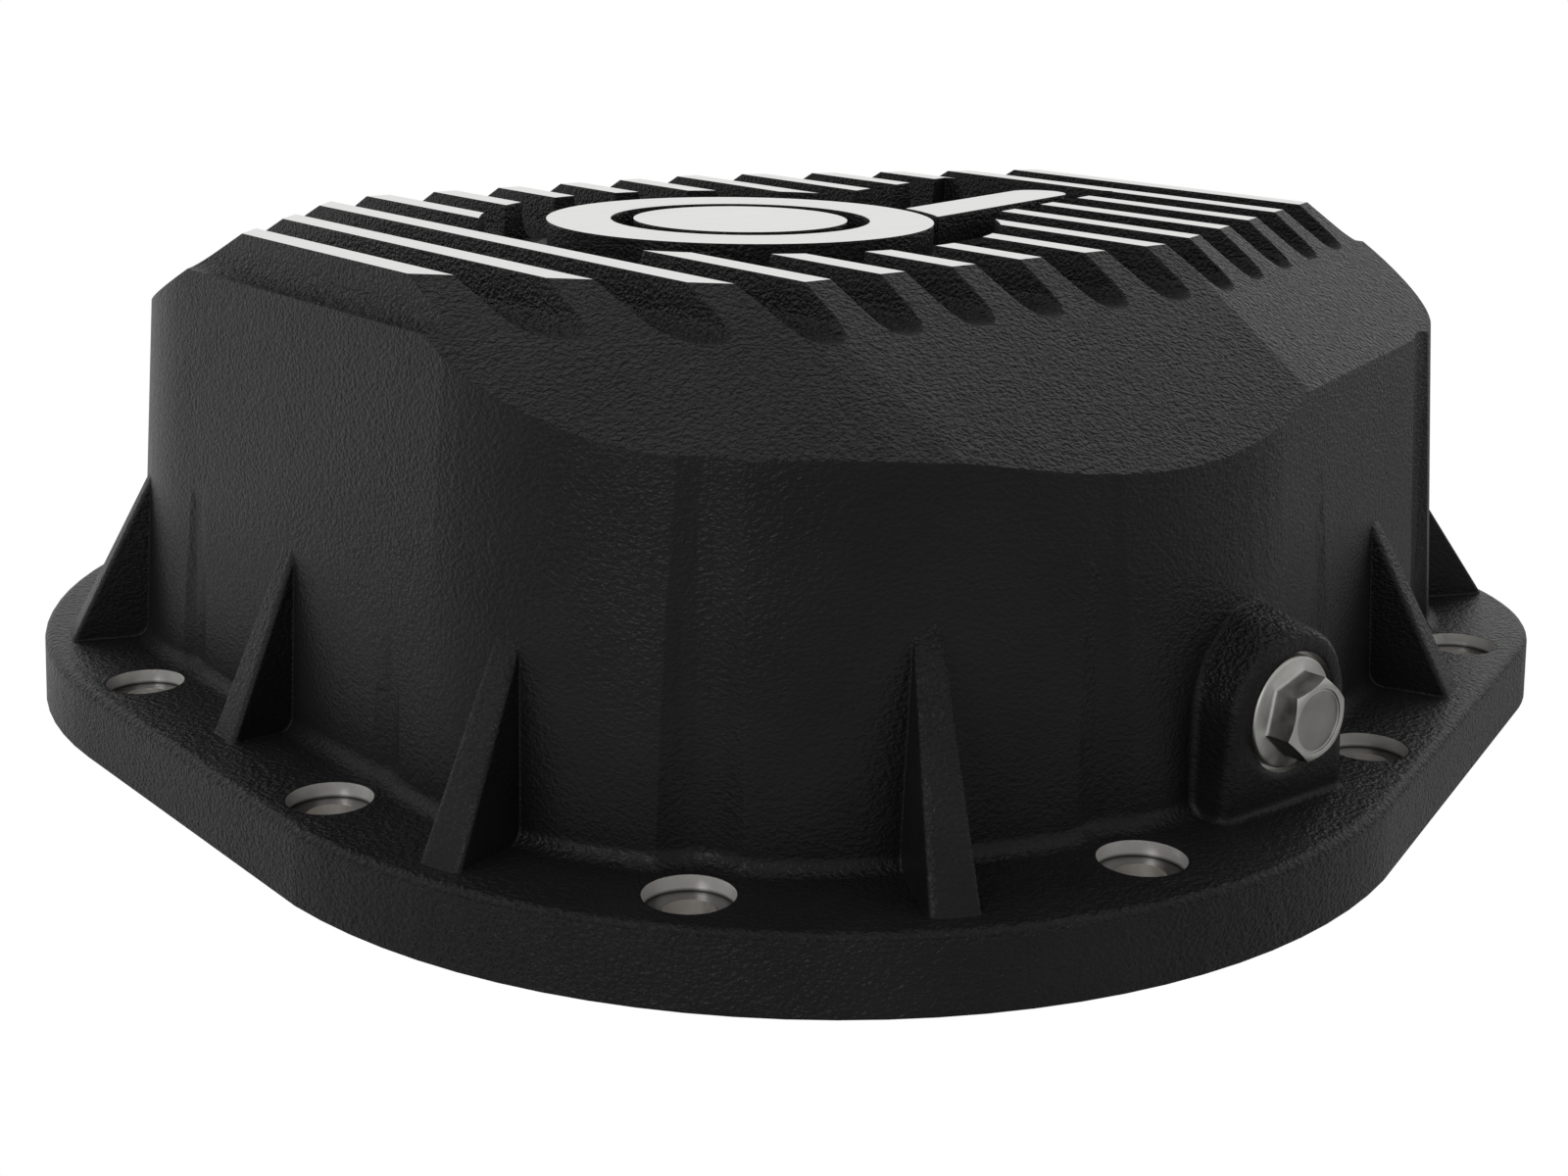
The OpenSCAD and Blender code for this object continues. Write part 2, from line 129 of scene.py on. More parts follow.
def black_wrinkle_coat(settings):
    """Aluminium casting under black textured powder coat: small baked pebbles on a matt black skin."""
    material, tree, shader = new_material("black_wrinkle_powder_coat")
    place = node(tree, "ShaderNodeTexCoord")
    # A pebble is about 1 mm long and 0.7 mm tall.
    drawn = node(tree, "ShaderNodeMapping", {"Vector": place.outputs["Object"]},
                 inputs={"Scale": (0.8, 0.8, 1.15)})
    pebbles = node(tree, "ShaderNodeTexNoise", {"Vector": drawn.outputs["Vector"]},
                   inputs={"Scale": 1.1 / settings.wrinkle_size, "Detail": 1.6, "Roughness": 0.5,
                           "Distortion": 0.5})
    # Slow waves of the cast skin show through the coat, some 22 mm from one to the next.
    waves = node(tree, "ShaderNodeTexNoise", {"Vector": place.outputs["Object"]},
                 inputs={"Scale": grain_scale(22.22), "Detail": 2.0, "Roughness": 0.5})
    # The cast boss round the drain plug has rounder edges than the rest.
    plug_low, plug_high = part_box("drain_plug")
    boss = [(a + b) / 2 for a, b in zip(plug_low, plug_high)]
    apart = node(tree, "ShaderNodeVectorMath", {0: place.outputs["Object"]}, operation="DISTANCE",
                 inputs={1: (boss[0], plug_low[1], boss[2] - 2 * MM)})
    round_off = node(tree, "ShaderNodeMapRange", {"Value": apart.outputs["Value"]},
                     inputs={"From Min": 24 * MM, "From Max": 33 * MM, "To Min": settings.boss_round,
                             "To Max": settings.edge_round})
    soft = node(tree, "ShaderNodeBevel", {"Radius": round_off.outputs["Result"]}, samples=8)
    slow = node(tree, "ShaderNodeBump", {"Height": waves.outputs["Fac"], "Normal": soft.outputs["Normal"]},
                inputs={"Strength": 0.3, "Distance": 0.6 * MM})
    # The sloping roof takes the heaviest coat and the upright walls less. The walls' feet and the top of the
    # flange take the least, and the flange's rim more again.
    shape = tree.nodes.new("ShaderNodeNewGeometry")
    upright = node(tree, "ShaderNodeSeparateXYZ", {"Vector": shape.outputs["True Normal"]})
    slope = node(tree, "ShaderNodeMapRange", {"Value": upright.outputs["Z"]},
                 inputs={"From Min": 0.2, "From Max": 0.75, "To Min": 0.33 * settings.wrinkle_strength,
                         "To Max": settings.wrinkle_strength})
    spot = node(tree, "ShaderNodeSeparateXYZ", {"Vector": place.outputs["Object"]})
    foot = node(tree, "ShaderNodeMapRange", {"Value": spot.outputs["Z"]},
                inputs={"From Min": 16 * MM, "From Max": 60 * MM, "To Min": 0.33, "To Max": 1.0})
    rim = node(tree, "ShaderNodeMapRange", {"Value": spot.outputs["Z"]},
               inputs={"From Min": 13 * MM, "From Max": 14.4 * MM, "To Min": 1.6, "To Max": 0.0})
    share = node(tree, "ShaderNodeMath", {0: foot.outputs["Result"], 1: rim.outputs["Result"]},
                 operation="MAXIMUM")
    depth = node(tree, "ShaderNodeMath", {0: slope.outputs["Result"], 1: share.outputs[0]},
                 operation="MULTIPLY")
    bump = node(tree, "ShaderNodeBump", {"Height": pebbles.outputs["Fac"], "Normal": slow.outputs["Normal"],
                                         "Strength": depth.outputs[0]},
                inputs={"Distance": 2.2 * MM})
    tree.links.new(bump.outputs["Normal"], shader.inputs["Normal"])
    tint = node(tree, "ShaderNodeValToRGB", {"Fac": waves.outputs["Fac"]},
                stops=((0.3, settings.coat_dark), (0.7, settings.coat_light)))
    tree.links.new(tint.outputs["Color"], shader.inputs["Base Color"])
    shader.inputs["Roughness"].default_value = 0.36
    shader.inputs["IOR"].default_value = 1.5
    shader.inputs["Specular IOR Level"].default_value = 0.11
    return material


def machined_aluminium(name, tone, rough, line_mm):
    """Bare cast aluminium faced by a fly cutter: bright, with fine straight tool lines."""
    material, tree, shader = new_material(name)
    place = node(tree, "ShaderNodeTexCoord")
    # The cutter's real lines are about 0.1 mm apart. They are drawn several times as coarse, so that
    # they show.
    stretch = node(tree, "ShaderNodeMapping", {"Vector": place.outputs["Object"]},
                   inputs={"Scale": (0.04, 1.0, 1.0), "Rotation": (0, 0, radians(8))})
    lines = node(tree, "ShaderNodeTexNoise", {"Vector": stretch.outputs["Vector"]},
                 inputs={"Scale": grain_scale(line_mm), "Detail": 2.0, "Roughness": 0.6})
    bump = node(tree, "ShaderNodeBump", {"Height": lines.outputs["Fac"]},
                inputs={"Strength": 0.2, "Distance": 0.03 * MM})
    tree.links.new(bump.outputs["Normal"], shader.inputs["Normal"])
    shade = node(tree, "ShaderNodeMapRange", {"Value": lines.outputs["Fac"]},
                 inputs={"From Min": 0.3, "From Max": 0.7, "To Min": rough - 0.05, "To Max": rough + 0.07})
    tree.links.new(shade.outputs["Result"], shader.inputs["Roughness"])
    shader.inputs["Base Color"].default_value = tone
    shader.inputs["Metallic"].default_value = 1.0
    return material


def counterbored_seats():
    """Bolt seats cut through the coat: a bright wall round a floor painted dark, a painted reflection of the
    black casting.
    """
    material, tree, shader = new_material("counterbored_seats")
    place = node(tree, "ShaderNodeTexCoord")
    spot = node(tree, "ShaderNodeSeparateXYZ", {"Vector": place.outputs["Object"]})
    # Painted reflection: the floor is painted dark, as it would mirror the black casting, and the tone turns
    # to the bright wall where the floor turns up into the wall.
    rise = node(tree, "ShaderNodeMapRange", {"Value": spot.outputs["Z"]},
                inputs={"From Min": SEAT_FLOOR + 0.05 * MM, "From Max": SEAT_FLOOR + 0.7 * MM})
    tint = node(tree, "ShaderNodeValToRGB", {"Fac": rise.outputs["Result"]},
                stops=((0.0, linear("#383634")), (1.0, linear("#E6E4E1"))))
    tree.links.new(tint.outputs["Color"], shader.inputs["Base Color"])
    shader.inputs["Metallic"].default_value = 0.75
    # The cutter's chatter marks are about 4 mm apart.
    chatter = node(tree, "ShaderNodeTexNoise", {"Vector": place.outputs["Object"]},
                   inputs={"Scale": grain_scale(3.846), "Detail": 1.0, "Roughness": 0.5})
    shade = node(tree, "ShaderNodeMapRange", {"Value": chatter.outputs["Fac"]},
                 inputs={"From Min": 0.3, "From Max": 0.7, "To Min": 0.28, "To Max": 0.33})
    tree.links.new(shade.outputs["Result"], shader.inputs["Roughness"])
    return material


def bare_casting():
    """The uncoated inside of the casting: dull grey sand-cast skin, slightly blotched."""
    material, tree, shader = new_material("bare_cast_inside")
    place = node(tree, "ShaderNodeTexCoord")
    # Grains of moulding sand are 0.3 to 0.5 mm. They are drawn at 0.9 mm, so that they show.
    sand = node(tree, "ShaderNodeTexNoise", {"Vector": place.outputs["Object"]},
                inputs={"Scale": grain_scale(0.909), "Detail": 3.0, "Roughness": 0.6})
    blotch = node(tree, "ShaderNodeTexNoise", {"Vector": place.outputs["Object"]},
                  inputs={"Scale": grain_scale(16.67), "Detail": 4.0, "Roughness": 0.6})
    soft = node(tree, "ShaderNodeBevel", samples=4, inputs={"Radius": 1.5 * MM})
    bump = node(tree, "ShaderNodeBump", {"Height": sand.outputs["Fac"], "Normal": soft.outputs["Normal"]},
                inputs={"Strength": 0.6, "Distance": 0.3 * MM})
    tree.links.new(bump.outputs["Normal"], shader.inputs["Normal"])
    tint = node(tree, "ShaderNodeValToRGB", {"Fac": blotch.outputs["Fac"]},
                stops=((0.3, linear("#8E8D8A")), (0.7, linear("#A5A4A1"))))
    tree.links.new(tint.outputs["Color"], shader.inputs["Base Color"])
    shader.inputs["Metallic"].default_value = 1.0
    shader.inputs["Roughness"].default_value = 0.58
    return material


def turned_steel(settings, name, dark, light):
    """Plain turned and milled steel of a plug: warm grey, satin, with its edges just broken."""
    material, tree, shader = new_material(name)
    place = node(tree, "ShaderNodeTexCoord")
    # Turning marks are about 0.1 mm apart. They are drawn as a grain of 0.56 mm, so that they show.
    grain = node(tree, "ShaderNodeTexNoise", {"Vector": place.outputs["Object"]},
                 inputs={"Scale": grain_scale(0.5556), "Detail": 3.0, "Roughness": 0.6})
    blotch = node(tree, "ShaderNodeTexNoise", {"Vector": place.outputs["Object"]},
                  inputs={"Scale": grain_scale(3.846), "Detail": 3.0, "Roughness": 0.55})
    soft = node(tree, "ShaderNodeBevel", samples=4, inputs={"Radius": settings.plug_edge_round})
    bump = node(tree, "ShaderNodeBump", {"Height": grain.outputs["Fac"], "Normal": soft.outputs["Normal"]},
                inputs={"Strength": 0.3, "Distance": 0.05 * MM})
    tree.links.new(bump.outputs["Normal"], shader.inputs["Normal"])
    shade = node(tree, "ShaderNodeMapRange", {"Value": blotch.outputs["Fac"]},
                 inputs={"From Min": 0.3, "From Max": 0.7, "To Min": 0.3, "To Max": 0.46})
    tree.links.new(shade.outputs["Result"], shader.inputs["Roughness"])
    tint = node(tree, "ShaderNodeValToRGB", {"Fac": blotch.outputs["Fac"]},
                stops=((0.3, linear(dark)), (0.7, linear(light))))
    tree.links.new(tint.outputs["Color"], shader.inputs["Base Color"])
    shader.inputs["Metallic"].default_value = 1.0
    return material


def soft_aluminium():
    """Crush washer: soft bare aluminium, dull from pressing."""
    material, tree, shader = new_material("soft_aluminium")
    place = node(tree, "ShaderNodeTexCoord")
    # Pressing leaves marks about 1 mm across.
    grain = node(tree, "ShaderNodeTexNoise", {"Vector": place.outputs["Object"]},
                 inputs={"Scale": grain_scale(1.111), "Detail": 3.0})
    shade = node(tree, "ShaderNodeMapRange", {"Value": grain.outputs["Fac"]},
                 inputs={"To Min": 0.35, "To Max": 0.55})
    tree.links.new(shade.outputs["Result"], shader.inputs["Roughness"])
    shader.inputs["Base Color"].default_value = linear("#B9BABC")
    shader.inputs["Metallic"].default_value = 1.0
    return material


def magnet_dark():
    """Sintered magnet: dark grey, dull."""
    material, tree, shader = new_material("sintered_magnet")
    place = node(tree, "ShaderNodeTexCoord")
    # The sintered grain is far finer, and is drawn at 0.5 mm, so that it shows.
    grain = node(tree, "ShaderNodeTexNoise", {"Vector": place.outputs["Object"]},
                 inputs={"Scale": grain_scale(0.5), "Detail": 2.0})
    bump = node(tree, "ShaderNodeBump", {"Height": grain.outputs["Fac"]},
                inputs={"Strength": 0.3, "Distance": 0.05 * MM})
    tree.links.new(bump.outputs["Normal"], shader.inputs["Normal"])
    shader.inputs["Base Color"].default_value = linear("#3C3D40")
    shader.inputs["Metallic"].default_value = 0.8
    shader.inputs["Roughness"].default_value = 0.5
    return material


def put(name, mesh):
    """Add a mesh to the scene as an object at the origin."""
    thing = bpy.data.objects.new(name, mesh)
    bpy.context.scene.collection.objects.link(thing)
    return thing


# settings

class CoverSettings(bpy.types.PropertyGroup):
    """Sizes and colours of the cover's pieces"""
    coat_dark: FloatVectorProperty(
        name="Coat, dark", description="Colour of the powder coat where it is darkest",
        default=linear("#0D0D0E"), size=4, min=0, max=1, subtype="COLOR")
    coat_light: FloatVectorProperty(
        name="Coat, light", description="Colour of the powder coat where it is lightest",
        default=linear("#131314"), size=4, min=0, max=1, subtype="COLOR")
    fin_top_tone: FloatVectorProperty(
        name="Fin tops", description="Colour of the bare aluminium on the faced fin tops",
        default=linear("#D8D8D6"), size=4, min=0, max=1, subtype="COLOR")
    edge_round: FloatProperty(
        name="Edge rounding", description="Radius at which the coated edges look rounded",
        default=0.0007, min=0.0, max=0.004, subtype="DISTANCE", unit="LENGTH")
    boss_round: FloatProperty(
        name="Boss rounding", description="Radius at which the drain boss's cast edges look rounded",
        default=0.0026, min=0.0, max=0.004, subtype="DISTANCE", unit="LENGTH")
    wrinkle_size: FloatProperty(
        name="Wrinkle size", description="Size of one wrinkle of the powder coat",
        default=0.0009, min=0.0005, max=0.004, precision=4, subtype="DISTANCE", unit="LENGTH")
    wrinkle_strength: FloatProperty(
        name="Wrinkle depth", description="How strongly the wrinkles catch the light",
        default=1.0, min=0.0, max=1.0, subtype="FACTOR")
    seat_radius: FloatProperty(
        name="Bolt seat radius", description="Radius of the machined seats round the bolt holes",
        default=0.008, min=0.006, max=0.01, subtype="DISTANCE", unit="LENGTH")
    plug_flats: FloatProperty(
        name="Plug flats", description="Width across the flats of the drain plug's head",
        default=0.014, min=0.012, max=0.016, subtype="DISTANCE", unit="LENGTH")
    plug_turn: FloatProperty(
        name="Plug turn", description="How far the plug's head is turned in its seat",
        default=radians(19), min=0, max=radians(60), subtype="ANGLE", unit="ROTATION")
    plug_edge_round: FloatProperty(
        name="Plug edge rounding", description="Radius at which the plug's edges look broken",
        default=0.0002, min=0.0, max=0.001, precision=4, subtype="DISTANCE", unit="LENGTH")
    thread_pitch: FloatProperty(
        name="Thread pitch", description="Pitch of the drain plug's thread",
        default=0.0015, min=0.001, max=0.002, precision=4, subtype="DISTANCE", unit="LENGTH")


class StudioSettings(bpy.types.PropertyGroup):
    """Place and lens of the camera"""
    camera_place: FloatVectorProperty(
        name="Camera place", description="Where the camera stands",
        default=(-0.31621, -0.38361, 0.16568), size=3, subtype="TRANSLATION", unit="LENGTH")
    camera_heading: FloatProperty(
        name="Camera heading", description="Compass direction of the view, from +Y towards +X",
        default=radians(39.141), subtype="ANGLE", unit="ROTATION")
    camera_pitch: FloatProperty(
        name="Camera pitch", description="How far the view looks down",
        default=radians(16.332), subtype="ANGLE", unit="ROTATION")
    camera_roll: FloatProperty(
        name="Camera roll", description="Roll of the camera",
        default=radians(0.906), subtype="ANGLE", unit="ROTATION")
    camera_lens: FloatProperty(
        name="Focal length", description="Focal length in millimetres on a 36 mm sensor",
        default=2239.1 / 1600 * 36, min=20, max=200)


# pieces

COAT, FIN_TOPS, FACED, BORES, BARE, BOLT_SEATS = range(6)
TURNED, FLATS, RECESS = range(3)
PLUG_NECK = 7.1 * MM


class COVER_OT_casting(bpy.types.Operator):
    """Dress the casting: wrinkled coat, with bare metal where it was machined"""
    bl_idname = "cover.casting"
    bl_label = "Casting"

    def execute(self, context):
        settings = context.scene.cover_settings
        source = frame["nodes"]["cover_casting"]
        mesh = source.data.copy()
        mesh.name = "casting_skin"
        skin = put("casting_skin", mesh)
        mesh.materials.clear()
        # In the order of COAT, FIN_TOPS, FACED, BORES, BARE and BOLT_SEATS.
        for material in (black_wrinkle_coat(settings),
                         machined_aluminium("faced_fin_tops", settings.fin_top_tone, 0.34, 0.5),
                         machined_aluminium("spot_faced_seats", linear("#AFADA8"), 0.36, 0.4),
                         machined_aluminium("drilled_bores", linear("#C2BFBA"), 0.5, 0.4),
                         bare_casting(), counterbored_seats()):
            mesh.materials.append(material)
        bm = bmesh.new()
        bm.from_mesh(mesh)
        bmesh.ops.remove_doubles(bm, verts=bm.verts, dist=1e-6)
        flats = self.cast_flats(bm)
        self.paint(bm, settings)
        self.sharpen(bm, flats)
        bm.to_mesh(mesh)
        bm.free()
        fair = skin.modifiers.new("even_normals", "WEIGHTED_NORMAL")
        fair.keep_sharp = True
        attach(skin, "root")
        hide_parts("cover_casting")
        return {"FINISHED"}

    def paint(self, bm, settings):
        """Give each face its material: coat, fin tops, machined faces, bores, bolt seats or bare inside."""
        top = CAD_BOX[1][2]
        bolts = [mount for mount in frame["record"]["mounts"] if mount["kind"] == "bolt_pattern"]
        centres = [Vector((bolt["pos_m"][0], side * bolt["dims"]["spacing_y_mm"] * MM / 2))
                   for bolt in bolts for side in (-1, 1)]
        bore_reach = settings.seat_radius * 0.7
        seat_reach = settings.seat_radius + 0.05 * MM
        plug_low, plug_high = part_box("drain_plug")
        drain = Vector(((plug_low[0] + plug_high[0]) / 2, (plug_low[2] + plug_high[2]) / 2))
        plug_seat_depth, plug_seat_reach = 3.6 * MM, 11.6 * MM
        plug_seat_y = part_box("drain_plug_seal")[0][1] + plug_seat_depth

        def round_a_bolt(face, reach):
            return any(all((v.co.xy - c).length < reach for v in face.verts) for c in centres)

        for face in bm.faces:
            face.smooth = True
            highs = [v.co.z for v in face.verts]
            if min(highs) > top - TOUCH:
                face.material_index = FIN_TOPS
            elif max(highs) < TOUCH:
                face.material_index = FACED
            elif max(highs) < FLANGE_TOP and abs(face.normal.z) < 0.5 and round_a_bolt(face, bore_reach):
                face.material_index = BORES
            elif max(highs) < FLANGE_TOP and round_a_bolt(face, seat_reach):
                face.material_index = BOLT_SEATS
            elif face.calc_center_median().y < plug_seat_y and all(
                    (v.co.xz - drain).length < plug_seat_reach for v in face.verts):
                face.material_index = FACED
            else:
                face.material_index = COAT
        for face in self.inside(bm, drain):
            face.material_index = BARE

    def sharpen(self, bm, flats):
        """Mark the edges that stay sharp: borders of materials and of flats, and turns past a limit."""
        foot_turn, wall_turn, fin_turn, flat_turn = radians(32), radians(9), radians(21), radians(0.4)
        for edge in bm.edges:
            faces = edge.link_faces
            if len(faces) != 2 or faces[0].material_index != faces[1].material_index:
                edge.smooth = False
                continue
            height = max(v.co.z for v in edge.verts)
            limit = foot_turn if height < WALL_FOOT else wall_turn if height < FIN_START else fin_turn
            if flats.get(faces[0].index) != flats.get(faces[1].index):
                limit = flat_turn
            edge.smooth = edge.calc_face_angle(0) < limit

    def inside(self, bm, drain):
        """Faces of the cavity: all that the inner roof leads to, up to the mating face and the drain hole."""
        # The wall of the drain hole lies within this reach of its axis, and further out than this y.
        hole_reach, hole_y = 7.6 * MM, -100 * MM

        def open_to(face):
            if max(v.co.z for v in face.verts) < TOUCH:
                return False
            return not all(v.co.y < hole_y and (v.co.xz - drain).length < hole_reach for v in face.verts)

        roof = max((f for f in bm.faces if f.normal.z < -0.9), key=lambda f: f.calc_center_median().z)
        found, front = {roof}, [roof]
        while front:
            face = front.pop()
            for edge in face.edges:
                for near in edge.link_faces:
                    if near not in found and open_to(near):
                        found.add(near)
                        front.append(near)
        return found

    def cast_flats(self, bm):
        """Name each large sloping flat of the roof by its direction, so that its shading stays flat."""
        large = 250 * MM * MM
        # Normals that agree to a hundredth are of one flat.
        bm.faces.ensure_lookup_table()
        bm.faces.index_update()
        areas, keys = {}, {}
        for face in bm.faces:
            n = face.normal
            if 0.3 < n.z < 0.97:
                key = (round(n.x * 100), round(n.y * 100), round(n.z * 100))
                keys[face.index] = key
                areas[key] = areas.get(key, 0) + face.calc_area()
        return {index: key for index, key in keys.items() if areas[key] > large}


class COVER_OT_drain_plug(bpy.types.Operator):
    """Build the magnetic drain plug: collar, hex head with a recessed end, threaded shank"""
    bl_idname = "cover.drain_plug"
    bl_label = "Drain plug"

    def execute(self, context):
        settings = context.scene.cover_settings
        low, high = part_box("drain_plug")
        seal_low, seal_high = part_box("drain_plug_seal")
        magnet_low, magnet_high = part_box("drain_plug_magnet")
        seat = seal_high[1]
        seal = seal_high[1] - seal_low[1]
        end = seat - low[1]
        tail = high[1] - seat
        collar_r = (high[0] - low[0]) / 2
        bore_r = (magnet_high[0] - magnet_low[0]) / 2
        recess_floor, recess_r = end - 0.45 * MM, settings.plug_flats / 2 - 0.9 * MM
        flats_start = seal + 1.7 * MM
        sharp_turn = radians(28)
        bm = bmesh.new()
        self.head(bm, settings, seal, end, collar_r)
        self.shank(bm, settings, seal, tail, bore_r + TOUCH, high[1] - magnet_low[1] + TOUCH)
        bmesh.ops.remove_doubles(bm, verts=bm.verts, dist=1e-7)
        bmesh.ops.recalc_face_normals(bm, faces=bm.faces)
        for face in bm.faces:
            face.smooth = True
            middle = face.calc_center_median()
            if middle.z > recess_floor and middle.xy.length < recess_r:
                face.material_index = RECESS
            elif abs(face.normal.z) < 0.2 and flats_start < middle.z < end:
                face.material_index = FLATS
            else:
                face.material_index = TURNED
        for edge in bm.edges:
            edge.smooth = len(edge.link_faces) == 2 and edge.calc_face_angle(0) < sharp_turn
        place = Matrix.Translation(((low[0] + high[0]) / 2, seat, (low[2] + high[2]) / 2))
        bmesh.ops.transform(bm, matrix=place @ Matrix.Rotation(radians(90), 4, "X"), verts=bm.verts)
        mesh = bpy.data.meshes.new("threaded_drain_plug")
        bm.to_mesh(mesh)
        bm.free()
        # In the order of TURNED, FLATS and RECESS. It is one steel: the flats and the recessed end are
        # painted darker, as painted shade.
        for name, dark, light in (("turned_plug_steel", "#9A9996", "#A9A8A5"),
                                  ("plug_flats_painted_shade", "#747371", "#83827F"),
                                  ("plug_end_painted_shade", "#7A7977", "#878684")):
            mesh.materials.append(turned_steel(settings, name, dark, light))
        plug = put("threaded_drain_plug", mesh)
        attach(plug, "root")
        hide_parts("drain_plug")
        for name, material in (("drain_plug_seal", soft_aluminium()), ("drain_plug_magnet", magnet_dark())):
            piece = frame["nodes"][name]
            piece.data.materials.clear()
            piece.data.materials.append(material)
        return {"FINISHED"}

    def ring(self, bm, edges, radius, height, flat=0.0, turn=0.0, chamfer_r=0.0):
        """Extrude a ring of edges to the next ring, round or six-sided, and return its edges."""
        chamfer_slope = tan(radians(30))
        if edges is None:
            made = bmesh.ops.create_circle(bm, cap_ends=False, radius=1.0, segments=96)
            verts = made["verts"]
            edges = list({edge for v in verts for edge in v.link_edges})
        else:
            made = bmesh.ops.extrude_edge_only(bm, edges=edges)
            verts = [g for g in made["geom"] if isinstance(g, bmesh.types.BMVert)]
            edges = [g for g in made["geom"] if isinstance(g, bmesh.types.BMEdge)]
        for v in verts:
            out = v.co.xy.normalized()
            reach = radius
            if flat:
                around = (atan2(out.y, out.x) - turn) % (pi / 3)
                reach = flat / 2 / cos(around - pi / 6) + radius
            drop = max(0.0, reach - chamfer_r) * chamfer_slope if chamfer_r else 0.0
            v.co = Vector((out.x * reach, out.y * reach, height - drop))
        return edges

    def head(self, bm, settings, seal, end, collar_r):
        """Round collar on the washer, and a hex head with a chamfered, recessed end."""
        flat, turn = settings.plug_flats, settings.plug_turn
        top = seal + 1.6 * MM
        rim = flat / 2 - 1.0 * MM
        edges = self.ring(bm, None, PLUG_NECK, seal)
        # The steps of each loop are outward and upward, in millimetres.
        for out, up in ((-0.15, 0.0), (0.0, 0.15), (-0.05, 0.9), (-0.25, 1.2), (-0.7, 1.38)):
            edges = self.ring(bm, edges, collar_r + out * MM, seal + up * MM)
        for out, up in ((0.5, 0.02), (0.22, 0.2), (0.06, 0.55), (0.0, 1.1)):
            edges = self.ring(bm, edges, out * MM, top + up * MM, flat, turn)
        edges = self.ring(bm, edges, 0.0, end, flat, turn, flat / 2 - 0.05 * MM)
        edges = self.ring(bm, edges, flat / 2 - 0.25 * MM, end)
        for out, up in ((0.3, 0.0), (0.1, -0.05), (0.0, -0.16), (0.0, -0.44), (-0.15, -0.52), (-0.45, -0.42)):
            edges = self.ring(bm, edges, rim + out * MM, end + up * MM)
        bmesh.ops.contextual_create(bm, geom=edges)

    def shank(self, bm, settings, seal, tail, bore_r, bore_depth):
        """Thread, run-out and chamfered tail, with the magnet's pocket in its end."""
        pitch, steps = settings.thread_pitch, 48
        crest, root = 6.95 * MM, 6.1 * MM
        chamfer, run_out = 0.9 * MM, 1.7 * MM
        edges = self.ring(bm, None, PLUG_NECK, seal)
        edges = self.ring(bm, edges, root, seal)
        edges = self.ring(bm, edges, root, -tail + chamfer)
        edges = self.ring(bm, edges, root - 0.6 * MM, -tail)
        edges = self.ring(bm, edges, bore_r, -tail)
        edges = self.ring(bm, edges, bore_r, -tail + bore_depth)
        bmesh.ops.contextual_create(bm, geom=edges)
        # The thread is one ridge, sunk a little into the shank and wound from the tail up to the run-out.
        turns = int((tail - chamfer - run_out) / pitch)
        sunk = root - 0.05 * MM
        profile = [(sunk, pitch * 0.02), (crest, pitch * 0.44), (crest, pitch * 0.56), (sunk, pitch * 0.98)]
        verts = [bm.verts.new((x, 0, z - tail + chamfer)) for x, z in profile]
        lines = [bm.edges.new(pair) for pair in zip(verts, verts[1:] + verts[:1])]
        wound = bmesh.ops.spin(bm, geom=verts + lines, axis=(0, 0, 1), cent=(0, 0, 0), angle=2 * pi * turns,
                               dvec=(0, 0, pitch / steps), steps=steps * turns, use_merge=False)
        for ends in (lines, [g for g in wound["geom_last"] if isinstance(g, bmesh.types.BMEdge)]):
            bmesh.ops.contextual_create(bm, geom=ends)


